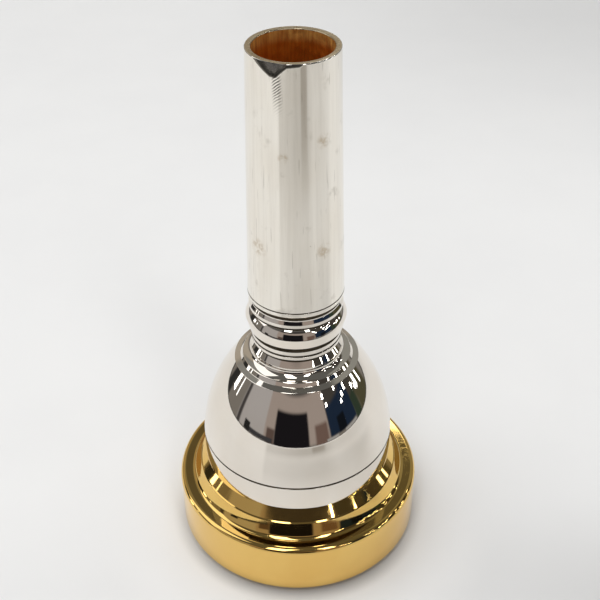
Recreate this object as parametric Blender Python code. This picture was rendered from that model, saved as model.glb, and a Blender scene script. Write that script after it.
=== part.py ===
"""Large-shank brass-instrument mouthpiece with a screw rim and a screw shank.

Three turned pieces share the Z axis and stand on the rim, as the mouthpiece
is set down on a table: the rim below, the cup on it, the shank pointing up.
The rim's spigot goes up into the cup, and the shank's spigot goes down into
the cup's neck.  Both spigots are plain, and just clear of the sockets that
their threads would screw into.
"""

import math

import bmesh
import bpy

MM = 0.001
SEGMENTS = 48               # facets round the axis, the same on every piece
SEAT_GAP = 0.3              # between two shoulders that screw up to each other

# All lengths below are in millimetres; heights are above the rim's face.
LENGTH = 85.0
RIM_RADIUS = 20.0

# Air passage, from the rim to the tip
CUP_RADIUS = 13.0           # inside edge of the rim
CUP_START = 2.4             # height where the cup's wall stands straight
CUP_POWER = 1.8             # how full the bowl is
THROAT_RADIUS = 3.5
THROAT_START = 33.5
THROAT_END = 38.1
BACKBORE_POWER = 0.8        # how soon the backbore opens
TIP_BORE_RADIUS = 5.5

# Rim
LAND_INNER = 15.0           # flat ring that meets the lips, or the table
LAND_OUTER = 16.4
FACE_RISE = 1.6             # climb of the rounded face out to the side wall
TOP_HEIGHT = 10.2
TOP_CORNER = 0.95           # radius of the upper outside corner
COLLAR_FOOT = (17.75, 10.12)    # cone between the rim's top and the cup, in two slopes
COLLAR_EDGE = (16.4, 12.65)
COLLAR_TOP_RADIUS = 15.0

# Seam between the rim and the cup
RIM_SEAM = 14.85
RIM_SPIGOT_RADIUS = 12.9
RIM_SOCKET_RADIUS = 13.1
RIM_SPIGOT_END = 20.2

# Outside of the cup
BELL_RADIUS = 15.4
GROOVE_HEIGHT = 19.3
GROOVE_SIZE = 0.15
BELL_PULLS = ((14.76, 26.3), (12.62, 30.0))     # shape the curve over the bell
BELL_TOP = (9.74, 33.94)
LEDGE = (8.85, 34.27)       # foot and edge of the thin step above the bell
LEDGE_EDGE = (8.42, 34.88)

# Neck of the cup, and its seam with the shank
LOWER_RING = (7.12, 36.03, 36.5)    # radius, bottom, top
WAIST_RING = (6.94, 38.08, 39.55)
BEAD = (7.76, 42.3)         # its crest
UPPER_RING = (7.2, 44.26, 44.8)
NECK_LAND = (6.9, 45.34, 45.52)
NECK_HOLLOW = 0.27          # how far the neck draws in under each ring
NECK_SEAM = 46.1
SHANK_SPIGOT_RADIUS = 5.1
SHANK_SOCKET_RADIUS = 5.3

# Shank
TIP_RADIUS = 6.35
TIP_EDGE = 0.12
FOOT_RADIUS = 7.31
FOOT_EDGE = 0.35
CHAMFER = 0.4               # lead-in on spigots and sockets


def clear_scene():
    for item in list(bpy.data.objects):
        bpy.data.objects.remove(item, do_unlink=True)


def arc(centre, radius, start, end, steps):
    """Points on a circle in the profile plane; angles in degrees from outwards."""
    angles = [math.radians(start + (end - start) * i / steps) for i in range(steps + 1)]
    return [(centre[0] + radius * math.cos(a), centre[1] + radius * math.sin(a))
            for a in angles]


def ellipse(corner, reach, rise, steps):
    """Quarter turn that leaves corner level and ends reach away and rise higher."""
    angles = [math.pi / 2 * i / steps for i in range(steps + 1)]
    return [(corner[0] + reach * math.sin(a), corner[1] + rise * (1 - math.cos(a)))
            for a in angles]


def bezier(start, pull_a, pull_b, end, steps):
    """Points on a cubic curve, without its start."""
    points = []
    for i in range(1, steps + 1):
        t = i / steps
        weights = ((1 - t) ** 3, 3 * t * (1 - t) ** 2, 3 * t * t * (1 - t), t ** 3)
        ends = (start, pull_a, pull_b, end)
        points.append(tuple(sum(w * p[k] for w, p in zip(weights, ends)) for k in (0, 1)))
    return points


def bowl(start, end, steps):
    """Inside wall of the cup between two heights."""
    points = []
    for i in range(steps + 1):
        height = start + (end - start) * i / steps
        depth = max(0.0, (height - CUP_START) / (THROAT_START - CUP_START))
        narrowing = (CUP_RADIUS - THROAT_RADIUS) * depth ** CUP_POWER
        points.append((CUP_RADIUS - narrowing, height))
    return points


def backbore(steps):
    """Bore of the shank from the tip down, without its lowest point."""
    points = []
    for i in range(steps):
        reach = 1 - i / steps
        radius = THROAT_RADIUS + (TIP_BORE_RADIUS - THROAT_RADIUS) * reach ** BACKBORE_POWER
        points.append((radius, THROAT_END + (LENGTH - THROAT_END) * reach))
    return points


def rim_profile():
    """Up the outside from the flat land, over the spigot and down the inside."""
    face = ellipse((LAND_OUTER, 0), RIM_RADIUS - LAND_OUTER, FACE_RISE, 6)
    corner = arc((RIM_RADIUS - TOP_CORNER, TOP_HEIGHT - TOP_CORNER), TOP_CORNER, 0, 90, 4)
    rise = bezier(COLLAR_FOOT, (17.35, COLLAR_FOOT[1]), (17.1, 11.1), COLLAR_EDGE, 4)
    shoulder = RIM_SEAM - SEAT_GAP / 2
    spigot = [(COLLAR_TOP_RADIUS, shoulder),
              (RIM_SPIGOT_RADIUS, shoulder),
              (RIM_SPIGOT_RADIUS, RIM_SPIGOT_END - CHAMFER),
              (RIM_SPIGOT_RADIUS - CHAMFER, RIM_SPIGOT_END)]
    bite = ellipse((LAND_INNER, 0), CUP_RADIUS - LAND_INNER, CUP_START, 5)[-2::-1]
    return (face + corner + [COLLAR_FOOT] + rise + spigot
            + bowl(RIM_SPIGOT_END, CUP_START, 6) + bite)


def bell_outline():
    """Outside of the cup from the rim's shoulder to the top of the bell."""
    groove = [(BELL_RADIUS, GROOVE_HEIGHT - GROOVE_SIZE),
              (BELL_RADIUS - GROOVE_SIZE, GROOVE_HEIGHT),
              (BELL_RADIUS - 0.02, GROOVE_HEIGHT + GROOVE_SIZE)]
    dome = bezier(groove[-1], *BELL_PULLS, BELL_TOP, 9)
    return [(BELL_RADIUS, RIM_SEAM + SEAT_GAP / 2)] + groove + dome


def neck_outline():
    """Ledge, rings and bead between the bell and the shank, from the bottom up."""
    radius, bottom, top = LOWER_RING
    cove = bezier(LEDGE_EDGE, (7.7, 35.1), (radius + 0.02, 35.5), (radius, bottom), 3)
    outline = [LEDGE, LEDGE_EDGE] + cove + [(radius, top)]
    radius, bottom, top = WAIST_RING
    outline += [(radius - NECK_HOLLOW, bottom - 0.18), (radius, bottom), (radius, top),
                (radius - NECK_HOLLOW, top + 0.65), (radius + 0.08, top + 0.81)]
    ring_radius, bottom, top = UPPER_RING
    crest = (BEAD[0], BEAD[1] - 0.12)
    shoulder = (ring_radius - NECK_HOLLOW + 0.02, bottom - 0.34)
    outline += [crest] + bezier(BEAD, (7.58, 42.82), (7.27, 43.47), shoulder, 3)
    outline += [(ring_radius, bottom), (ring_radius, top)]
    radius, bottom, top = NECK_LAND
    outline += [(radius, bottom), (radius, top), (radius - 0.17, NECK_SEAM - SEAT_GAP / 2)]
    return outline


def cup_profile():
    """Up the outside from the rim's shoulder to the neck, and down the inside."""
    seat = NECK_SEAM - SEAT_GAP / 2
    shank_socket = [(SHANK_SOCKET_RADIUS + CHAMFER, seat),
                    (SHANK_SOCKET_RADIUS, seat - CHAMFER),
                    (SHANK_SOCKET_RADIUS, THROAT_END - SEAT_GAP),
                    (THROAT_RADIUS, THROAT_END - SEAT_GAP)]
    shoulder = RIM_SEAM + SEAT_GAP / 2
    rim_socket = [(RIM_SOCKET_RADIUS, RIM_SPIGOT_END + SEAT_GAP),
                  (RIM_SOCKET_RADIUS, shoulder + CHAMFER),
                  (RIM_SOCKET_RADIUS + CHAMFER, shoulder)]
    return (bell_outline() + neck_outline() + shank_socket
            + bowl(THROAT_START, RIM_SPIGOT_END + SEAT_GAP, 7) + rim_socket)


def shank_profile():
    """Up the outside from the spigot to the tip, and down the bore."""
    shoulder = NECK_SEAM + SEAT_GAP / 2
    spigot = [(THROAT_RADIUS, THROAT_END),
              (SHANK_SPIGOT_RADIUS - CHAMFER, THROAT_END),
              (SHANK_SPIGOT_RADIUS, THROAT_END + CHAMFER),
              (SHANK_SPIGOT_RADIUS, shoulder)]
    foot = arc((FOOT_RADIUS - FOOT_EDGE, shoulder + FOOT_EDGE), FOOT_EDGE, -90, 0, 2)
    tip = arc((TIP_RADIUS - TIP_EDGE, LENGTH - TIP_EDGE), TIP_EDGE, 0, 90, 1)
    return spigot + foot + tip + backbore(5)


def plating(name, colour, roughness):
    """Polished metal plating of one colour."""
    result = bpy.data.materials.new(name)
    result.use_nodes = True
    shader = result.node_tree.nodes["Principled BSDF"]
    shader.inputs["Base Color"].default_value = (*colour, 1.0)
    shader.inputs["Metallic"].default_value = 1.0
    shader.inputs["Roughness"].default_value = roughness
    return result


def turn(name, profile, finish):
    """Turns a closed profile of (radius, height) points about the Z axis."""
    shape = bmesh.new()
    corners = [shape.verts.new((r * MM, 0, z * MM)) for r, z in profile]
    loop = [shape.edges.new(pair) for pair in zip(corners, corners[1:] + corners[:1])]
    bmesh.ops.spin(shape, geom=corners + loop, cent=(0, 0, 0), axis=(0, 0, 1),
                   angle=math.tau, steps=SEGMENTS, use_merge=True)
    bmesh.ops.remove_doubles(shape, verts=shape.verts, dist=0.001 * MM)
    bmesh.ops.recalc_face_normals(shape, faces=shape.faces)
    mesh = bpy.data.meshes.new(name)
    shape.to_mesh(mesh)
    shape.free()
    mesh.shade_smooth()
    mesh.set_sharp_from_angle(angle=math.radians(32))
    mesh.materials.append(finish)
    bpy.context.scene.collection.objects.link(bpy.data.objects.new(name, mesh))


def main():
    clear_scene()
    gold = plating("gold_plate", (0.86, 0.62, 0.25), 0.12)
    silver = plating("silver_plate", (0.90, 0.88, 0.84), 0.10)
    turn("rim", rim_profile(), gold)
    turn("cup", cup_profile(), silver)
    turn("shank", shank_profile(), silver)


main()
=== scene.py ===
"""Looks of a large-shank brass mouthpiece: gold-plated screw rim, silver-plated cup and screw shank.

The three pieces are turned again in fine detail over the fixed frame, plated
with worn mirror finishes, and stood on a pale table in a soft-lit room.
"""

import math

import bpy
import numpy as np
from mathutils import Matrix, Vector


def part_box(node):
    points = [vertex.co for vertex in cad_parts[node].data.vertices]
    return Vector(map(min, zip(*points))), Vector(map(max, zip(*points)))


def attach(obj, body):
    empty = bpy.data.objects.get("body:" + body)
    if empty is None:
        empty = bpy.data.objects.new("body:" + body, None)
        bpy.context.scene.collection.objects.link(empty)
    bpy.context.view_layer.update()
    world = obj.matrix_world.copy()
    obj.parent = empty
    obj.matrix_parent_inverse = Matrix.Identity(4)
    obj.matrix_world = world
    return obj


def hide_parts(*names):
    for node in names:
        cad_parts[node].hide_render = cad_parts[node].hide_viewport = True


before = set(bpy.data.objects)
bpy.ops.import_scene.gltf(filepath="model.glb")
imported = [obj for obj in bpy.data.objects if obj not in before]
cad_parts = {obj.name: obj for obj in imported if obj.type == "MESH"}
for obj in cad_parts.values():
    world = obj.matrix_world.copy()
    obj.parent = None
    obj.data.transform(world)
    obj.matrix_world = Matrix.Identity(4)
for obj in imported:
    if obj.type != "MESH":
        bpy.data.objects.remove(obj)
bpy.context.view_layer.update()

MM = 0.001
SEGMENTS = 192              # round the axis
DENSE = 160                 # points that a curve is measured with
TURN_STEP = 2.5             # degrees of bend between two rings of a curve
EDGE_STEP = 12.0            # the same on a rounded edge
LONGEST_STEP = 1.5          # millimetres

# ---------------------------------------------------------------- sizes
# In millimetres, above the rim's face.  Heights and radii that the frame's
# boxes give are read from them.


def low_high(node):
    """Lowest and highest corner of a node of the frame, in millimetres."""
    low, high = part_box(node)
    return low / MM, high / MM


rim_low, rim_high = low_high("rim")
cup_low, cup_high = low_high("cup")
shank_low, shank_high = low_high("shank")

SEAT_GAP = 0.3                              # the frame's gap between two shoulders
SEAM = 0.02                                 # what is left of it once they are screwed up
RIM_SEAM = cup_low.z - SEAT_GAP / 2
NECK_SEAM = cup_high.z + SEAT_GAP / 2
LENGTH = shank_high.z
RIM_RADIUS = rim_high.x
BELL_RADIUS = cup_high.x
FOOT_RADIUS = shank_high.x

CUP_RADIUS = 13.0           # air passage
CUP_START = 2.4             # where the bite ends and the bowl begins
CUP_POWER = 1.8
THROAT_RADIUS = 3.5
THROAT_START = 33.5
THROAT_END = shank_low.z
BACKBORE_POWER = 0.8
TIP_BORE_RADIUS = 5.5
TIP_RADIUS = 6.35

# From here on a pair is (radius, height), and a curve's pulls are two such pairs.
LAND_INNER = 15.0           # rim
LAND_OUTER = 16.4
BITE_PULLS = ((CUP_RADIUS, 1.05), (13.9, 0))
FACE_PULLS = ((18.5, 0), (RIM_RADIUS, 0.6))
FACE_RISE = 1.7             # climb of the rounded face out to the side wall
TOP_HEIGHT = 10.2
TOP_CORNER = 0.95
TOP_INNER = 18.0            # inside edge of the flat top
COVE_PULLS = ((17.75, TOP_HEIGHT), (17.46, 10.46))
COLLAR_FOOT = (17.3, 10.7)
COLLAR_PULLS = ((16.96, 11.21), (16.7, 11.78))
COLLAR_EDGE = (16.4, 12.45)
CONE_FOOT = (16.2, 12.62)
CONE_TOP_RADIUS = 14.3

SKIRT_HEIGHT = 17.5         # a point on the straight wall below the groove
BELL_GROOVE = (19.3, 0.36, 0.25)        # height, width, depth
BELL_PULLS = ((14.76, 26.3), (12.62, 30.0))
BELL_TOP = (9.74, 33.94)
LEDGE_FOOT = (8.85, 34.27)  # thin step above the bell
LEDGE_EDGE = (8.42, 34.88)

NECK_PULLS = ((7.7, 35.1), (7.14, 35.5))        # neck, drawn in above the ledge
LOWER_RING = (7.12, 36.03, 36.5)        # rings are radius, bottom, top
LOWER_HOLLOW = (6.52, 37.37)
WAIST_CREVICE = (6.42, 37.62)
WAIST_RING = (6.93, 38.05, 38.4)
WAIST_GROOVE = (38.72, 0.34, 0.24)      # height, width, depth
WAIST_TOP = (6.95, 39.55)
BEAD_CREVICE = (6.64, 40.05)
BEAD_FOOT = (7.38, 40.55)
BEAD_CREST = (7.77, 42.3)
BEAD_PULLS = ((7.62, 42.82), (7.33, 43.37))
BEAD_TOP = (6.98, 43.75)
UPPER_CREVICE = (6.88, 44.02)
UPPER_RING = (7.2, 44.26, 44.8)
LAND_FOOT = (6.91, 45.32)
LAND_TOP = (6.9, 45.48)
SEAM_CREVICE = (6.66, 45.93)
NECK_EDGE_RADIUS = 6.6

FOOT_INNER = 6.92           # shank
FOOT_PULLS = ((7.2, 46.13), (FOOT_RADIUS, 46.3))
FOOT_TOP = 46.62
SCRIBE_FOOT = (7.3, 46.93)  # line scribed round the shank's foot
SCRIBE_BOTTOM = (7.16, 47.03)
SCRIBE_TOP = (7.288, 47.13)
MIDDLE_RADIUS = 6.8

RIM_SPIGOT_RADIUS = 12.9    # threads, crest to crest clear of each other
RIM_SOCKET_RADIUS = 13.1
RIM_SPIGOT_END = rim_high.z
SHANK_SPIGOT_RADIUS = 5.1
SHANK_SOCKET_RADIUS = 5.3
THREAD_PITCH = 1.0
THREAD_DEPTH = 0.35
CHAMFER = 0.4
TABLE_GAP = 0.01            # between the rim's flat land and the table's paper
TIP_WEAR_BEARING = 250.0    # degrees from +X to the deepest wear on the tip
WEAR_ASIDE = (-34, -8, 0, 6, 13, 28, 31)            # degrees from there
WEAR_REACH = (0.25, 2.0, 2.05, 1.35, 0.65, 0.5, 0.25)       # how far down it goes
WEAR_SLOPE = 0.17           # how steeply it cuts in
WEAR_ONSET = 0.25           # length over which it sets in
WORN_LENGTH = 3.5           # length of the tip that may be worn
FRONT_BEARING = 270.0       # degrees from +X to the side towards the camera
SCRATCH_SPACING = 0.42      # of the slanting scratches under the tip

PLATE = 0                   # places of the finishes among a piece's materials
# painted shade: near-black finish for crevices, grooves and seams, standing in for the shadow in them
PAINTED_SHADE = 1
BARE = 2                    # threads, and the shank's bore
TIP_END = 3


# ---------------------------------------------------------------- outlines
class Outline:
    """A closed outline in the plane of the axis, drawn with the metal on its left.

    Legs follow one another, and each is rounded into the one before it.
    """

    def __init__(self, radius, height, finish=PLATE):
        self.end = np.array((radius, height), float)
        self.finish = finish
        self.legs = []

    def path(self, points, rounding=0.05, thread=0.0, step=LONGEST_STEP):
        """Adds a leg through close-set points.  thread is its depth, outwards positive."""
        points = np.array(points, float)
        self.legs.append((points, rounding, thread, step, self.finish))
        self.end = points[-1]

    def line(self, radius, height, rounding=0.05, **details):
        """Adds a straight leg.  rounding is the radius of its edge with the leg before."""
        share = np.linspace(0, 1, DENSE)[:, None]
        travel = np.array((radius, height)) - self.end
        self.path(self.end + travel * share, rounding, **details)

    def curve(self, pull_a, pull_b, end, rounding=0.0):
        """Adds a leg along a cubic curve."""
        points = [cubic(t, self.end, pull_a, pull_b, end) for t in np.linspace(0, 1, DENSE)]
        self.path(points, rounding)

    def groove(self, height, width, depth):
        """A V cut into a wall that climbs straight up to height, its two faces in painted shade."""
        radius = self.end[0]
        self.line(radius, height - width / 2, 0.02)
        self.crevice(radius - depth, height, radius, height + width / 2)

    def crevice(self, *corners):
        """Two legs in painted shade, a near-black finish for the shadow deep in a crevice, given as
        radius, height, radius, height.
        """
        open_finish, self.finish = self.finish, PAINTED_SHADE
        self.line(*corners[:2], 0.03)
        self.line(*corners[2:], 0.03)
        self.finish = open_finish

    def rings(self):
        """Rows of (radius, height, outward radius, outward height, thread depth, finish)."""
        legs = [Leg(*leg) for leg in self.legs]
        for before, leg in zip(legs[-1:] + legs[:-1], legs):
            leg.round_into(before)
        rows = []
        for leg, after in zip(legs, legs[1:] + legs[:1]):
            rows += leg.rows()
            rows += leg.corner(after)
        return rows


class Leg:
    """One leg of an outline, measured along its length."""

    def __init__(self, points, rounding, thread, step, finish):
        steps = np.linalg.norm(np.diff(points, axis=0), axis=1)
        self.along = np.concatenate(([0], np.cumsum(steps)))
        self.points = points
        slopes = np.gradient(points, self.along, axis=0, edge_order=2)
        self.slopes = slopes / np.linalg.norm(slopes, axis=1)[:, None]
        self.length = self.along[-1]
        self.first, self.last = 0.0, self.length
        self.rounding, self.thread, self.finish = rounding, thread, finish
        self.step = THREAD_PITCH / 14 if thread else step

    def at(self, where):
        """Point and unit direction at a length along the leg."""
        point = np.array([np.interp(where, self.along, self.points[:, k]) for k in (0, 1)])
        slope = np.array([np.interp(where, self.along, self.slopes[:, k]) for k in (0, 1)])
        return point, slope / np.linalg.norm(slope)

    def round_into(self, before):
        """Cuts this leg's start and the end of the one before it back by the same length."""
        turn = bend(before.slopes[-1], self.slopes[0])
        cut = self.rounding * math.tan(min(abs(turn), 3.0) / 2)
        cut = min(cut, 0.45 * self.length, 0.45 * before.length)
        self.first = cut
        before.last = before.length - cut

    def rows(self):
        """Rings along what the roundings leave of this leg."""
        span = self.last - self.first
        inside = (self.along >= self.first) & (self.along <= self.last)
        slopes = self.slopes[inside]
        turned = sum(abs(bend(a, b)) for a, b in zip(slopes[:-1], slopes[1:]))
        steps = max(1, math.ceil(math.degrees(turned) / TURN_STEP), math.ceil(span / self.step))
        rows = []
        for k in range(steps + 1):
            point, slope = self.at(self.first + span * k / steps)
            fade = min(1.0, min(k, steps - k) / 10)
            rows.append((*point, slope[1], -slope[0], self.thread * fade, self.finish))
        return rows

    def corner(self, after):
        """Rings strictly between the end of this leg and the start of the next."""
        (start, out), (end, into) = self.at(self.last), after.at(after.first)
        turn = bend(out, into)
        chord = np.linalg.norm(end - start)
        if chord < 1e-6:
            return []
        reach = chord / max(2 * math.sin(abs(turn) / 2), 1e-6) * 4 / 3 * math.tan(abs(turn) / 4)
        reach = min(reach, chord)
        pulls = (start, start + out * reach, end - into * reach, end)
        steps = max(2, math.ceil(math.degrees(abs(turn)) / EDGE_STEP))
        rows = []
        for k in range(1, steps):
            t = k / steps
            slope = sum(w * (b - a) for w, a, b in zip(
                ((1 - t) ** 2, 2 * t * (1 - t), t * t), pulls[:3], pulls[1:]))
            slope = slope / np.linalg.norm(slope)
            rows.append((*cubic(t, *pulls), slope[1], -slope[0], 0.0, self.finish))
        return rows


def cubic(t, *corners):
    """Point at t on the cubic curve with these four corners."""
    weights = ((1 - t) ** 3, 3 * t * (1 - t) ** 2, 3 * t * t * (1 - t), t ** 3)
    return sum(w * np.array(p, float) for w, p in zip(weights, corners))


def bend(a, b):
    """Signed angle in radians from direction a to direction b."""
    return math.atan2(a[0] * b[1] - a[1] * b[0], a[0] * b[0] + a[1] * b[1])


def bowl(start, end):
    """Inside wall of the cup between two heights."""
    heights = np.linspace(start, end, DENSE)
    depth = np.clip((heights - CUP_START) / (THROAT_START - CUP_START), 0, 1)
    return np.column_stack((CUP_RADIUS - (CUP_RADIUS - THROAT_RADIUS) * depth ** CUP_POWER, heights))


def backbore():
    """Bore of the shank from the tip down to the throat."""
    reach = np.linspace(1, 0, DENSE)
    radii = THROAT_RADIUS + (TIP_BORE_RADIUS - THROAT_RADIUS) * reach ** BACKBORE_POWER
    return np.column_stack((radii, THROAT_END + (LENGTH - THROAT_END) * reach))


def rim_outline():
    """From the flat land out, up the side, over the collar and the spigot, and down the bowl."""
    rim = Outline(LAND_INNER, rim_low.z)
    rim.line(LAND_OUTER, rim_low.z, 0)
    rim.curve(*FACE_PULLS, (RIM_RADIUS, FACE_RISE))
    rim.line(RIM_RADIUS, TOP_HEIGHT, 0)
    rim.line(TOP_INNER, TOP_HEIGHT, TOP_CORNER)
    rim.curve(*COVE_PULLS, COLLAR_FOOT)
    rim.curve(*COLLAR_PULLS, COLLAR_EDGE)
    rim.line(*CONE_FOOT, 0.12)
    rim.line(CONE_TOP_RADIUS, RIM_SEAM - SEAM / 2, 0.1)
    rim.line(RIM_SPIGOT_RADIUS, RIM_SEAM - SEAM / 2, 0.03)
    rim.finish = BARE
    rim.line(RIM_SPIGOT_RADIUS, RIM_SPIGOT_END - CHAMFER, 0.1, thread=-THREAD_DEPTH)
    rim.line(RIM_SPIGOT_RADIUS - CHAMFER, RIM_SPIGOT_END)
    rim.finish = PLATE
    inside = bowl(RIM_SPIGOT_END, CUP_START)
    rim.line(*inside[0])
    rim.path(inside, 0.12)
    rim.curve(*BITE_PULLS, (LAND_INNER, rim_low.z))
    return rim


def cup_outline():
    """Up the bell and the neck, down the shank's socket and the bowl, and round the rim's socket."""
    cup = Outline(BELL_RADIUS, RIM_SEAM + SEAM / 2)
    cup.line(BELL_RADIUS, SKIRT_HEIGHT, 0.06)
    cup.groove(*BELL_GROOVE)
    cup.curve(*BELL_PULLS, BELL_TOP, 0.03)
    cup.line(*LEDGE_FOOT, 0.15)
    cup.line(*LEDGE_EDGE, 0.12)

    radius, bottom, top = LOWER_RING
    cup.curve(*NECK_PULLS, (radius, bottom), 0.3)
    cup.line(radius, top, 0)
    cup.line(*LOWER_HOLLOW, 0.05)
    radius, bottom, top = WAIST_RING
    cup.crevice(*WAIST_CREVICE, radius, bottom)
    cup.line(radius, top, 0.03)
    cup.groove(*WAIST_GROOVE)
    cup.line(*WAIST_TOP, 0.03)

    cup.crevice(*BEAD_CREVICE, *BEAD_FOOT)
    cup.line(*BEAD_CREST, 0.08)
    cup.curve(*BEAD_PULLS, BEAD_TOP, 0.2)
    radius, bottom, top = UPPER_RING
    cup.crevice(*UPPER_CREVICE, radius, bottom)
    cup.line(radius, top, 0.03)
    cup.line(*LAND_FOOT, 0.04)
    cup.line(*LAND_TOP, 0.03)
    cup.crevice(*SEAM_CREVICE, NECK_EDGE_RADIUS, NECK_SEAM - SEAM / 2)

    cup.line(SHANK_SOCKET_RADIUS + CHAMFER, NECK_SEAM - SEAM / 2)
    cup.line(SHANK_SOCKET_RADIUS, NECK_SEAM - CHAMFER)
    cup.line(SHANK_SOCKET_RADIUS, THROAT_END - SEAT_GAP, 0.05, thread=THREAD_DEPTH)
    cup.line(THROAT_RADIUS, THROAT_END - SEAT_GAP)
    cup.line(THROAT_RADIUS, THROAT_START)
    cup.path(bowl(THROAT_START, RIM_SPIGOT_END + SEAT_GAP), 0.5)
    cup.line(RIM_SOCKET_RADIUS, RIM_SPIGOT_END + SEAT_GAP)
    cup.line(RIM_SOCKET_RADIUS, RIM_SEAM + CHAMFER, 0.05, thread=THREAD_DEPTH)
    cup.line(RIM_SOCKET_RADIUS + CHAMFER, RIM_SEAM + SEAM / 2)
    # painted shade on the face that meets the rim at the seam
    cup.finish = PAINTED_SHADE
    cup.line(BELL_RADIUS, RIM_SEAM + SEAM / 2)
    return cup


def shank_outline():
    """Up the spigot and the taper, and down the bore."""
    shank = Outline(THROAT_RADIUS, THROAT_END, BARE)
    shank.line(SHANK_SPIGOT_RADIUS - CHAMFER, THROAT_END)
    shank.line(SHANK_SPIGOT_RADIUS, THROAT_END + CHAMFER)
    shank.line(SHANK_SPIGOT_RADIUS, NECK_SEAM + SEAM / 2, 0.05, thread=-THREAD_DEPTH)
    shank.line(FOOT_INNER, NECK_SEAM + SEAM / 2)
    shank.finish = PLATE
    shank.curve(*FOOT_PULLS, (FOOT_RADIUS, FOOT_TOP))
    shank.line(*SCRIBE_FOOT, 0)
    shank.crevice(*SCRIBE_BOTTOM, *SCRIBE_TOP)
    base, start = SCRIBE_TOP
    worn_from = LENGTH - WORN_LENGTH
    share = (worn_from - start) / (LENGTH - start)
    shank.line(base + (TIP_RADIUS - base) * share, worn_from, 0.02)
    shank.line(TIP_RADIUS, LENGTH, 0, step=0.1)
    shank.finish = TIP_END
    shank.line(TIP_BORE_RADIUS, LENGTH, 0.12)
    shank.finish = BARE
    shank.path(backbore(), 0.18)
    return shank


# ---------------------------------------------------------------- meshes
def wear(bearing, height):
    """Millimetres worn off the shank just under its tip, deepest at the front left."""
    aside = (bearing - TIP_WEAR_BEARING + 180) % 360 - 180
    reach = np.interp(aside, WEAR_ASIDE, WEAR_REACH)
    rise = np.clip(height - LENGTH + reach, 0, None)
    return WEAR_SLOPE * rise ** 2 / (rise + WEAR_ONSET)


def turned(name, outline, body, node, slot, finishes):
    """Turns an outline about the axis into one closed mesh that stands for a CAD node."""
    rows = outline.rings()
    rows = [row for row, after in zip(rows, rows[1:] + rows[:1])
            if math.dist(row[:2], after[:2]) > 1e-5]
    radii, heights, out_r, out_z, threads, faces_finish = (np.array(c) for c in zip(*rows))
    angles = np.arange(SEGMENTS) * math.tau / SEGMENTS
    worn = wear(np.degrees(angles)[None, :], heights[:, None]) * (out_r > 0.5)[:, None]
    turn = heights[:, None] / THREAD_PITCH - angles[None, :] / math.tau
    valley = 0.5 + 0.5 * np.clip(1.5 * np.cos(math.tau * turn), -1, 1)
    radius = radii[:, None] + threads[:, None] * valley - worn
    points = np.stack((radius * np.cos(angles), radius * np.sin(angles),
                       np.broadcast_to(heights[:, None], radius.shape)), axis=2)
    normals = np.stack((out_r[:, None] * np.cos(angles), out_r[:, None] * np.sin(angles),
                        np.broadcast_to(out_z[:, None], radius.shape)), axis=2)
    sideways = np.roll(points, -1, axis=1) - np.roll(points, 1, axis=1)
    onwards = np.roll(points, -1, axis=0) - np.roll(points, 1, axis=0)
    measured = np.cross(sideways, onwards)
    measured /= np.maximum(np.linalg.norm(measured, axis=2), 1e-12)[:, :, None]
    remeasure = (threads[:, None] != 0) | (worn > 1e-6)
    normals = np.where(remeasure[:, :, None], measured, normals)

    count = len(rows)
    row, column = np.meshgrid(np.arange(count), np.arange(SEGMENTS), indexing="ij")
    next_row, next_column = (row + 1) % count, (column + 1) % SEGMENTS
    quads = np.stack((row * SEGMENTS + column, row * SEGMENTS + next_column,
                      next_row * SEGMENTS + next_column, next_row * SEGMENTS + column), axis=2)
    mesh = bpy.data.meshes.new(name)
    mesh.from_pydata((points.reshape(-1, 3) * MM).tolist(), [], quads.reshape(-1, 4).tolist())
    for finish in finishes:
        mesh.materials.append(finish)
    mesh.polygons.foreach_set("material_index", np.repeat(faces_finish.astype(int), SEGMENTS))
    mesh.shade_smooth()
    mesh.normals_split_custom_set_from_vertices(normals.reshape(-1, 3).tolist())
    piece = bpy.data.objects.new(name, mesh)
    bpy.context.scene.collection.objects.link(piece)
    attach(piece, body)
    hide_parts(node)


# ---------------------------------------------------------------- materials
class Shader:
    """Short calls for building one node tree."""

    def __init__(self, owner):
        owner.use_nodes = True
        self.tree = owner.node_tree

    def node(self, kind, **settings):
        made = self.tree.nodes.new("ShaderNode" + kind)
        for key, value in settings.items():
            setattr(made, key, value)
        return made

    def feed(self, source, socket):
        """Links an output, or sets a plain value."""
        if isinstance(source, bpy.types.NodeSocket):
            self.tree.links.new(source, socket)
        else:
            socket.default_value = source

    def math(self, operation, *values):
        made = self.node("Math", operation=operation)
        for value, socket in zip(values, made.inputs):
            self.feed(value, socket)
        return made.outputs[0]

    def place(self, scale, turn=(0, 0, 0)):
        """The piece's own coordinates, in millimetres times scale."""
        mapping = self.node("Mapping")
        self.feed(self.node("TexCoord").outputs["Object"], mapping.inputs["Vector"])
        mapping.inputs["Scale"].default_value = [s / MM for s in scale]
        mapping.inputs["Rotation"].default_value = [math.radians(a) for a in turn]
        return mapping.outputs[0]

    def noise(self, vector, scale, detail=2.0, roughness=0.5):
        made = self.node("TexNoise")
        self.feed(vector, made.inputs["Vector"])
        made.inputs["Scale"].default_value = scale
        made.inputs["Detail"].default_value = detail
        made.inputs["Roughness"].default_value = roughness
        return made.outputs["Fac"]

    def window(self, value, low, high, to_low=0.0, to_high=1.0):
        """Maps low..high smoothly to a new range."""
        made = self.node("MapRange", interpolation_type="SMOOTHSTEP")
        for source, socket in zip((value, low, high, to_low, to_high), made.inputs):
            self.feed(source, socket)
        return made.outputs[0]

    def mix(self, share, first, second):
        """Blends two colours."""
        made = self.node("Mix", data_type="RGBA")
        self.feed(share, made.inputs["Factor"])
        self.feed(first, made.inputs[6])
        self.feed(second, made.inputs[7])
        return made.outputs[2]


def rgba(colour):
    return (*colour, 1.0)


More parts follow.
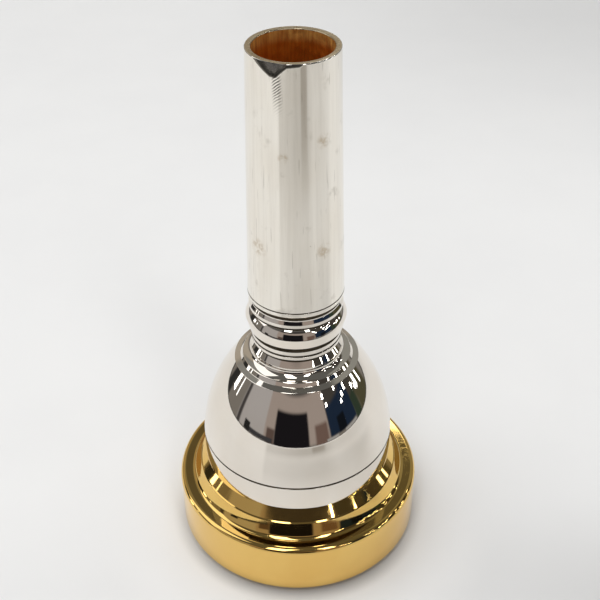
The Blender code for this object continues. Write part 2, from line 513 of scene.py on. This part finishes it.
def plated(name, colour, tarnish, gloss, relief=1.0, marks=0.0, metallic=1.0, extra=None):
    """Mirror plating with cloudy tarnish, turning lines, hairline scratches and small pits.

    relief scales the bump, and marks the blotches and the pits.
    extra takes the shader and the tone so far, and gives back the tone with marks added.
    """
    material = bpy.data.materials.new(name)
    build = Shader(material)
    shader = build.tree.nodes["Principled BSDF"]
    shader.inputs["Metallic"].default_value = metallic

    clouds = build.window(build.noise(build.place((1, 1, 0.6)), 0.16, 3.0), 0.35, 0.75)
    blotches = build.window(build.noise(build.place((1, 1, 1)), 0.33, 4.0, 0.6), 0.60, 0.74)
    tone = build.mix(build.math("MULTIPLY", clouds, 0.5), rgba(colour), rgba(tarnish))
    blotted = rgba([c * 0.72 for c in tarnish])
    tone = build.mix(build.math("MULTIPLY", blotches, marks), tone, blotted)
    if extra:
        tone = extra(build, tone)

    pits = build.node("TexVoronoi")
    build.feed(build.place((1, 1, 1)), pits.inputs["Vector"])
    pits.inputs["Scale"].default_value = 0.55
    pit = build.window(pits.outputs["Distance"], 0.035, 0.06, 1.0, 0.0)
    few = build.window(build.noise(build.place((1, 1, 1)), 0.5), 0.5, 0.6)
    pit = build.math("MULTIPLY", build.math("MULTIPLY", pit, few), marks)
    tone = build.mix(pit, tone, rgba([c * 0.2 for c in colour]))
    build.feed(tone, shader.inputs["Base Color"])

    smear = build.noise(build.place((1, 1, 1)), 0.8, 5.0, 0.6)
    rough = build.window(smear, 0.3, 0.8, gloss, gloss * 2.2)
    rough = build.math("ADD", rough, build.math("MULTIPLY", blotches, 0.10 * marks))
    build.feed(rough, shader.inputs["Roughness"])

    turning = build.noise(build.place((0.05, 0.05, 14)), 1.0, 2.0)
    hairs = [build.window(build.noise(build.place(scale, turn), 1.0, 1.0), 0.66, 0.70)
             for scale, turn in (((9, 0.35, 0.35), (20, 35, 0)), ((0.3, 11, 0.4), (55, -20, 10)))]
    height = build.math("MULTIPLY", turning, 0.35)
    for hair in hairs:
        height = build.math("SUBTRACT", height, build.math("MULTIPLY", hair, 0.5))
    height = build.math("SUBTRACT", height, build.math("MULTIPLY", pit, 3.0))
    bump = build.node("Bump")
    bump.inputs["Strength"].default_value = 0.05 * relief
    bump.inputs["Distance"].default_value = 0.03 * MM
    build.feed(height, bump.inputs["Height"])
    build.feed(bump.outputs[0], shader.inputs["Normal"])
    return material


def around(build):
    """Bearing in degrees, 0 at the front and positive to its right, then up, east and north.

    The last three are in millimetres.
    """
    split = build.node("SeparateXYZ")
    build.feed(build.place((1, 1, 1)), split.inputs[0])
    east, north, up = split.outputs
    bearing = build.math("ARCTAN2", east, build.math("MULTIPLY", north, -1.0))
    return build.math("DEGREES", bearing), up, east, north


def handling_marks(build, tone):
    """Draw lines down the shank, brown smudges, and a strip of slanting scratches at the tip, near black
    between them as a painted dark reflection.
    """
    streaks = build.noise(build.place((1.6, 1.6, 0.04)), 1.0, 3.0, 0.6)
    tone = build.mix(build.window(streaks, 0.40, 0.68, 0.0, 0.16), tone, rgba((0.55, 0.50, 0.43)))

    hairline = build.noise(build.place((4, 4, 0.2)), 1.0, 1.0)
    tone = build.mix(build.window(hairline, 0.70, 0.75, 0.0, 0.38), tone, rgba((0.35, 0.31, 0.26)))

    broken = build.window(build.noise(build.place((1, 1, 1)), 1.1, 4.0, 0.65), 0.40, 0.62)
    smudges = ((-48, 57, 1.9), (35, 57, 1.6), (36, 74, 1.4), (-13, 72, 1.0))
    for bearing, height, size in smudges:
        angle = math.radians(bearing)
        spot = build.node("VectorMath", operation="DISTANCE")
        build.feed(build.place((1, 1, 1)), spot.inputs[0])
        spot.inputs[1].default_value = (MIDDLE_RADIUS * math.sin(angle),
                                        -MIDDLE_RADIUS * math.cos(angle), height)
        near = build.window(spot.outputs["Value"], 0.3 * size, size, 0.75, 0.0)
        tone = build.mix(build.math("MULTIPLY", near, broken), tone, rgba((0.56, 0.46, 0.34)))

    bearing, up, *_ = around(build)
    below_tip = build.math("SUBTRACT", LENGTH, up)
    worn_side = TIP_WEAR_BEARING - FRONT_BEARING - 0.5
    strip_bearing = build.math("ADD", build.math("MULTIPLY", below_tip, 0.4), worn_side)
    aside = build.math("ABSOLUTE", build.math("SUBTRACT", bearing, strip_bearing))
    strip = build.math("MULTIPLY", build.window(aside, 2.0, 7.5, 1.0, 0.0),
                       build.window(below_tip, 3.0, 7.5, 1.0, 0.0))
    strip = build.math("MULTIPLY", strip, build.window(below_tip, 1.0, 2.2))
    jitter = build.noise(build.place((1, 1, 1)), 0.7, 2.0)
    across = build.math("SUBTRACT", up, build.math("MULTIPLY", bearing, 0.09))
    across = build.math("ADD", across, build.math("MULTIPLY", jitter, 0.5))
    waves = build.math("SINE", build.math("MULTIPLY", across, math.tau / SCRATCH_SPACING))
    lines = build.window(waves, -0.3, 0.5)
    # slanting scratches with a painted dark reflection between them
    scratches_and_dark_reflection = build.math("MULTIPLY", build.math("MULTIPLY", strip, lines), 0.95)
    return build.mix(scratches_and_dark_reflection, tone, rgba((0.10, 0.09, 0.08)))


def drawn_bore(build, tone):
    """Draw lines down the bore, and painted light: brighter gold just inside the tip's opening, where
    light falls into the bore.
    """
    _, up, *_ = around(build)
    # painted light near the opening of the bore
    lit_near_opening = build.window(up, LENGTH - 2.2, LENGTH - 0.8, 0.0, 0.85)
    tone = build.mix(lit_near_opening, tone, rgba((0.95, 0.60, 0.17)))
    streaks = build.noise(build.place((2.4, 2.4, 0.1)), 1.0, 3.0, 0.6)
    return build.mix(build.window(streaks, 0.42, 0.62, 0.0, 0.4), tone, rgba((0.40, 0.10, 0.006)))


def table_paper():
    """Smooth off-white table top with a faint mottle, and soft painted shadows round the part.

    broad and narrow, painted shade as if cast from the camera's side, go by bearing from the part, and
    the other painted shadows by place.
    Bearings are in degrees and distances in millimetres.
    """
    material = bpy.data.materials.new("table_top")
    build = Shader(material)
    shader = build.tree.nodes["Principled BSDF"]
    mottle = build.noise(build.place((1, 1, 1)), 0.05, 4.0)
    tone = build.mix(mottle, rgba((0.80, 0.798, 0.795)), rgba((0.84, 0.837, 0.83)))

    bearing, _, east, north = around(build)
    distance = build.math("SQRT", build.math("ADD", build.math("MULTIPLY", east, east),
                                             build.math("MULTIPLY", north, north)))
    # painted shade in front of the part, as if cast from the camera's side, in a warm tone
    broad = build.window(bearing, -37, -32, 0.0, 0.30)
    for low, high, change in ((-30, 8, 0.12), (24, 44, -0.27), (60, 95, -0.15)):
        broad = build.math("ADD", broad, build.window(bearing, low, high, 0.0, change))
    narrow = build.math("SUBTRACT", build.window(bearing, 14, 18, 0.0, 0.22),
                        build.window(bearing, 28, 33, 0.0, 0.22))
    reach = build.math("ADD", build.window(distance, 32, 60, 0.0, 0.5),
                       build.window(distance, 95, 170, 0.0, 0.5))
    shade = build.math("ADD", build.math("MULTIPLY", broad, reach),
                       build.math("MULTIPLY", narrow, build.window(distance, 110, 210)))
    # painted shade behind the part and to its right, and at its front
    right = build.window(east, -60, 110)
    behind = build.math("MULTIPLY", build.window(north, 90, 240),
                        build.math("MULTIPLY_ADD", right, 0.16, 0.03))
    front = build.math("MULTIPLY", build.window(north, -24, 14, 1.0, 0.0),
                       build.math("MULTIPLY_ADD", right, 0.06, 0.02))
    # painted shadow at the front right of the part
    front_right_shadow = build.math("MULTIPLY", build.window(distance, 28, 36),
                        build.window(distance, 70, 110, 1.0, 0.0))
    front_right_shadow = build.math("MULTIPLY", front_right_shadow, build.window(north, -22, 2, 1.0, 0.0))
    front_right_shadow = build.math("MULTIPLY", front_right_shadow, build.math("MULTIPLY_ADD", right, 0.11, 0.03))
    # painted contact shadow round the foot of the rim
    contact_shadow = build.math("MULTIPLY", build.window(distance, RIM_RADIUS - 0.5, RIM_RADIUS + 2.5, 0.42, 0.0),
                       build.window(north, -22, 12, 1.0, 0.0))
    painted_shadows = build.math("ADD", build.math("ADD", behind, front), build.math("ADD", front_right_shadow, contact_shadow))
    near = build.window(distance, 270, 350, 1.0, 0.0)
    tone = build.mix(build.math("MULTIPLY", painted_shadows, near), tone, rgba((0.0, 0.0, 0.0)))
    tone = build.mix(build.math("MULTIPLY", shade, near), tone, rgba((0.10, 0.07, 0.03)))
    build.feed(tone, shader.inputs["Base Color"])
    shader.inputs["Roughness"].default_value = 0.7
    shader.inputs["Specular IOR Level"].default_value = 0.2
    return material


# ---------------------------------------------------------------- set
TABLE_NEAR = 0.35           # metres
TABLE_FAR = 0.95
TABLE_SIDES = 96
LAMP_DISTANCE = 1.6         # metres
CAMERA_PLACE = (0.0006, -0.1251, 0.1366)        # metres
CAMERA_TILT = 36.44         # degrees down from level
CAMERA_ROLL = -0.5
CAMERA_LENS = 61.4          # millimetres, on a sensor 36 wide


def table(finish):
    """A near disc that the metal mirrors, and a far ring that it doesn't."""
    sides = TABLE_SIDES
    angles = np.arange(sides) * math.tau / sides
    for name, inner, outer in (("table_near", 0.0, TABLE_NEAR), ("table_far", TABLE_NEAR, TABLE_FAR)):
        points = [(r * math.cos(a), r * math.sin(a), -TABLE_GAP * MM)
                  for r in (inner, outer) if r for a in angles]
        if inner:
            faces = [(i, i + sides, (i + 1) % sides + sides, (i + 1) % sides) for i in range(sides)]
        else:
            faces = [tuple(range(sides))]
        mesh = bpy.data.meshes.new(name)
        mesh.from_pydata(points, [], faces)
        mesh.materials.append(finish)
        top = bpy.data.objects.new(name, mesh)
        bpy.context.scene.collection.objects.link(top)
        top.visible_glossy = not inner


def heading(azimuth, elevation):
    """Unit vector; azimuth 0 is towards the camera and positive to its right."""
    a, e = math.radians(azimuth), math.radians(elevation)
    return Vector((math.sin(a) * math.cos(e), -math.cos(a) * math.cos(e), math.sin(e)))


def lamp(name, azimuth, elevation, width, height, radiance, colour=(1, 1, 1), mirrored=True):
    """Rectangular soft light.  Its width and height are angles seen from the part."""
    size_x = 2 * LAMP_DISTANCE * math.tan(math.radians(width / 2))
    size_y = 2 * LAMP_DISTANCE * math.tan(math.radians(height / 2))
    light = bpy.data.lights.new(name, "AREA")
    light.shape = "RECTANGLE"
    light.size, light.size_y = size_x, size_y
    light.energy = radiance * math.pi * size_x * size_y
    light.color = colour
    item = bpy.data.objects.new(name, light)
    direction = heading(azimuth, elevation)
    item.location = direction * LAMP_DISTANCE
    item.rotation_mode = "QUATERNION"
    item.rotation_quaternion = direction.to_track_quat("Z", "Y")
    item.visible_camera = False
    item.visible_glossy = mirrored
    bpy.context.scene.collection.objects.link(item)


def lamps():
    """One broad light from above, and the smaller ones that the plating mirrors.

    Numbers are azimuth, elevation, width, height and radiance.
    """
    lamp("studio_fill", -100, 80, 80, 80, 1.06, (0.97, 0.985, 1.0), mirrored=False)
    lamp("window_left", -102, 8, 5, 10, 4, (0.95, 0.98, 1.0))
    lamp("window_right", 99, 9, 4, 7, 4, (0.97, 0.98, 1.0))
    lamp("window_right_edge", 108, 5, 2.5, 6, 4, (0.97, 0.98, 1.0))
    lamp("window_left_edge", -93, 9, 1.6, 9, 2, (0.95, 0.98, 1.0))
    lamp("strip_left", -95, 45, 34, 44, 1.2)
    lamp("strip_front", -21, 56, 14, 36, 4)
    lamp("panel_right", 28, 48, 8, 24, 6)
    lamp("panel_behind", 172, 39.5, 9, 8, 4)
    spots = ((40, 26), (43, 21.5), (66, 15.5), (71, 17), (78, 17), (90, 11), (95, 8),
             (37, 30), (62, 23), (66, 26), (73, 24), (78, 27), (62, 34), (84, 30), (99, 34),
             (104, 26), (120, 34), (75, 46), (100, 44))
    for number, (azimuth, elevation) in enumerate(spots, 1):
        lamp(f"ceiling_spot_{number}", azimuth, elevation, 2.2, 1.7, 16)


def room():
    """Walls and ceiling as broad soft patches of tone, and a pale backdrop for the camera."""
    world = bpy.data.worlds.new("room")
    bpy.context.scene.world = world
    build = Shader(world)
    background = build.tree.nodes["Background"]
    split = build.node("SeparateXYZ")
    build.feed(build.node("TexCoord").outputs["Generated"], split.inputs[0])
    east, south, up = split.outputs
    azimuth = build.math("DEGREES", build.math("ARCTAN2", east, build.math("MULTIPLY", south, -1.0)))
    elevation = build.math("DEGREES", build.math("ARCSINE", up))

    patches = (             # azimuth, half width, elevation, half height, softness, colour
        (0, 400, 8, 18, 3, (0.20, 0.185, 0.17)),            # walls all round
        (180, 70, 22, 14, 6, (0.42, 0.38, 0.32)),           # paler wall behind the part
        (-180, 70, 22, 14, 6, (0.42, 0.38, 0.32)),
        (96, 62, 24, 20, 5, (0.055, 0.05, 0.045)),          # brown gloom above the right
        (-60, 21, 13, 17, 1.5, (0.40, 0.385, 0.385)),       # light wall, left
        (140, 20, 30, 32, 4, (0.28, 0.28, 0.26)),           # paler corners behind
        (-140, 22, 48, 12, 4, (0.26, 0.26, 0.25)),
        (-78, 2.5, 6, 12, 1.5, (0.06, 0.055, 0.055)),       # upright at the edge of the wall
        (-112, 6, 6, 14, 2, (0.03, 0.03, 0.03)),            # dark upright, far left
        (-0.5, 40.5, 13.5, 16.5, 1.5, (0.34, 0.29, 0.265)),     # paler surround of the dark flag
        (0, 36, 35.5, 5.5, 1.5, (0.05, 0.045, 0.045)),      # dark strip above it
        (30, 8, 3, 9, 2, (0.15, 0.10, 0.085)),              # brown at both sides of the flag
        (-33, 5, 1, 7, 1.5, (0.10, 0.07, 0.06)),
        (-7, 21, 8, 14, 1.5, (0.010, 0.009, 0.011)),        # dark flag behind the camera
        (60, 20, 9, 11, 1.5, (0.012, 0.022, 0.045)),        # dark blue, right
        (57.5, 5.5, 4, 6, 1, (0.006, 0.008, 0.012)),        # black in the middle of it
        (85, 5.5, 1, 9, 1.5, (0.03, 0.045, 0.03)),          # dark green, far right
        (103, 13, 1, 9, 3, (0.075, 0.07, 0.04)),            # olive beside it
        (42.5, 7.5, -3.2, 1.1, 0.6, (0.34, 0.34, 0.34)),    # low pale strips
        (69, 9, -3.2, 1.1, 0.6, (0.34, 0.34, 0.34)),
        (-48, 18, -2, 2, 0.8, (0.045, 0.045, 0.05)),        # foot of the light wall
        (-64, 4, -0.5, 3.5, 0.8, (0.02, 0.02, 0.02)),       # its darkest part
        (0, 400, -30, 25.5, 0.5, (0.20, 0.195, 0.185)),     # floor past the edge of the table
        (0, 400, -6.5, 2, 0.5, (0.03, 0.029, 0.027)),       # shade under the edge
    )
    tone = build.window(elevation, 30, 70)
    colour = build.mix(tone, rgba((0.11, 0.105, 0.10)), rgba((0.12, 0.12, 0.115)))
    for centre, half_width, middle, half_height, soft, patch in patches:
        aside = build.math("ABSOLUTE", build.math("SUBTRACT", azimuth, centre))
        above = build.math("ABSOLUTE", build.math("SUBTRACT", elevation, middle))
        inside = build.math("MULTIPLY",
                            build.window(aside, half_width - soft, half_width + soft, 1.0, 0.0),
                            build.window(above, half_height - soft, half_height + soft, 1.0, 0.0))
        colour = build.mix(inside, colour, rgba(patch))
    seen = build.node("LightPath").outputs["Is Camera Ray"]
    build.feed(build.mix(seen, colour, rgba((0.80, 0.80, 0.79))), background.inputs["Color"])


def camera():
    """Close above the part, looking down at it, with its tip towards the top of the picture."""
    made = bpy.data.cameras.new("camera")
    made.sensor_width = 36
    made.lens = CAMERA_LENS
    made.clip_start = 0.001
    item = bpy.data.objects.new("camera", made)
    tilt = math.radians(CAMERA_TILT)
    roll = math.radians(CAMERA_ROLL)
    forward = Vector((0, math.cos(tilt), -math.sin(tilt)))
    right = Vector((1, 0, 0))
    up = right.cross(forward)
    axes = (math.cos(roll) * right + math.sin(roll) * up,
            math.cos(roll) * up - math.sin(roll) * right, -forward)
    turn = Matrix(axes).transposed().to_4x4()
    item.matrix_world = Matrix.Translation(CAMERA_PLACE) @ turn
    bpy.context.scene.collection.objects.link(item)
    bpy.context.scene.camera = item


# ---------------------------------------------------------------- all of it
def main():
    """Makes the materials, the three pieces over the frame, and the set round them."""
    bpy.context.scene.view_settings.view_transform = "Standard"
    gold = plated("gold_plating", (0.85, 0.57, 0.178), (0.76, 0.47, 0.13), 0.035, relief=0.5)
    gold_thread = plated("gold_thread", (0.84, 0.58, 0.24), (0.62, 0.38, 0.14), 0.16)
    silver = plated("silver_plating", (0.85, 0.798, 0.725), (0.78, 0.715, 0.625), 0.02,
                    relief=0.3)
    shank_silver = plated("silver_plating_handled", (0.90, 0.86, 0.785), (0.83, 0.77, 0.67), 0.05,
                          marks=0.55, extra=handling_marks)
    # bare brass, its colour darkened throughout as painted shade of the deep bore; the threads share it
    brass = plated("bare_brass", (0.70, 0.22, 0.022), (0.46, 0.12, 0.010), 0.34,
                   metallic=0.84, extra=drawn_bore)
    tip = plated("worn_tip", (0.56, 0.47, 0.32), (0.34, 0.27, 0.17), 0.22, relief=2.0)
    # near-black finish: painted shade for crevices, grooves and seams
    crevice_shade = plated("crevice_painted_shade", (0.10, 0.08, 0.055), (0.03, 0.025, 0.02), 0.45, relief=2.0)

    turned("rim_ring", rim_outline(), "rim", "rim", "gold_plate", (gold, crevice_shade, gold_thread))
    turned("cup_shell", cup_outline(), "cup", "cup", "silver_plate", (silver, crevice_shade))
    turned("shank_tube", shank_outline(), "shank", "shank", "silver_plate_shank",
           (shank_silver, crevice_shade, brass, tip))

    table(table_paper())
    lamps()
    room()
    camera()


main()
